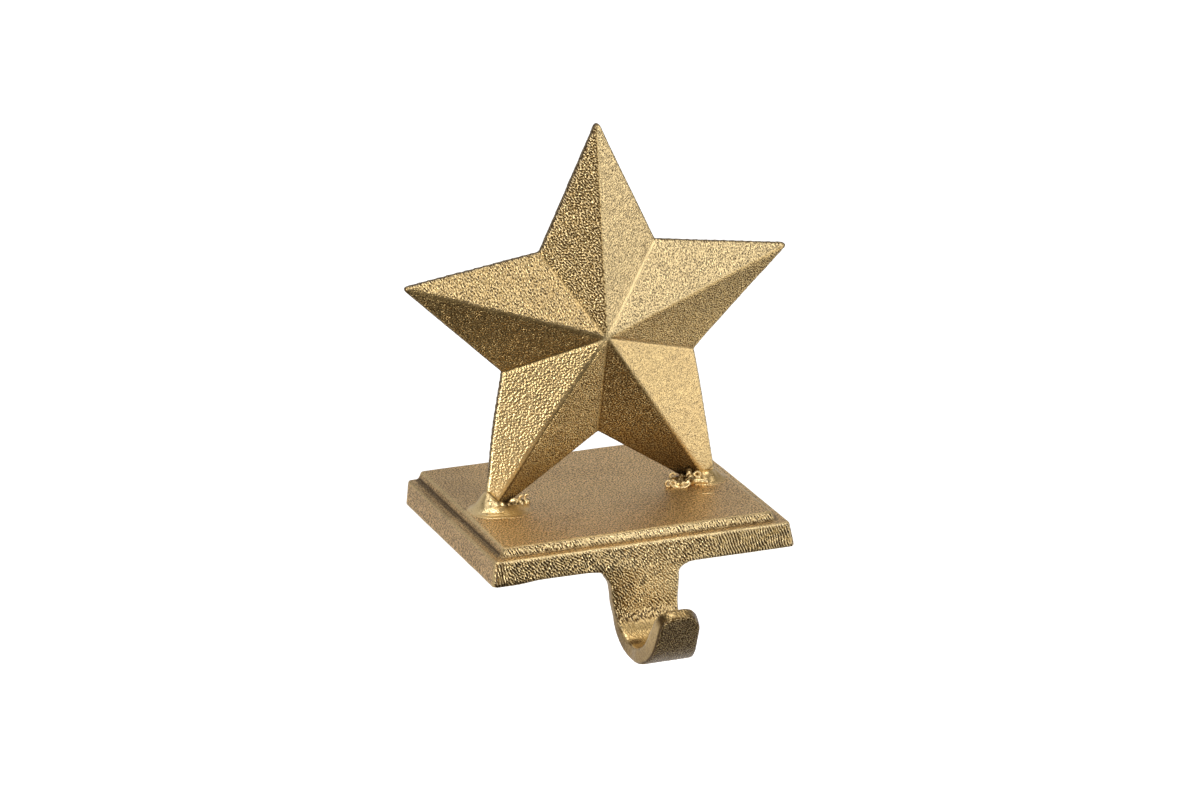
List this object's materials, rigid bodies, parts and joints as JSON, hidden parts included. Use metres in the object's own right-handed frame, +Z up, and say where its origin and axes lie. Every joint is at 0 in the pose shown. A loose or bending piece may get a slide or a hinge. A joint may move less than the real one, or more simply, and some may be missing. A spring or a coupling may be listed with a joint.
{
  "type": "stocking holder",
  "caption": "Mantel stocking holder: a faceted star welded upright on a stepped cast plate, with a hook that hangs below the plate's front edge and curls forward to carry a stocking.",
  "frame": {"origin": "middle of the plate's flat underside, where the holder sits on a mantel", "axes": "+Z up through the star, -Y towards the viewer where the hook curls forward, +X to the right seen from the front"},
  "size_m": [0.1288, 0.1136, 0.1603],
  "materials": {
    "antique_gold_casting": "sand-cast grain under a satin antique-gold coat with dark recesses",
    "antique_gold_weld": "weld metal under the same antique-gold coat"
  },
  "bodies": {
    "root": {"base_with_hook": "antique_gold_casting", "star": "antique_gold_casting", "left_weld": "antique_gold_weld", "right_weld": "antique_gold_weld"}
  },
  "joints": []
}
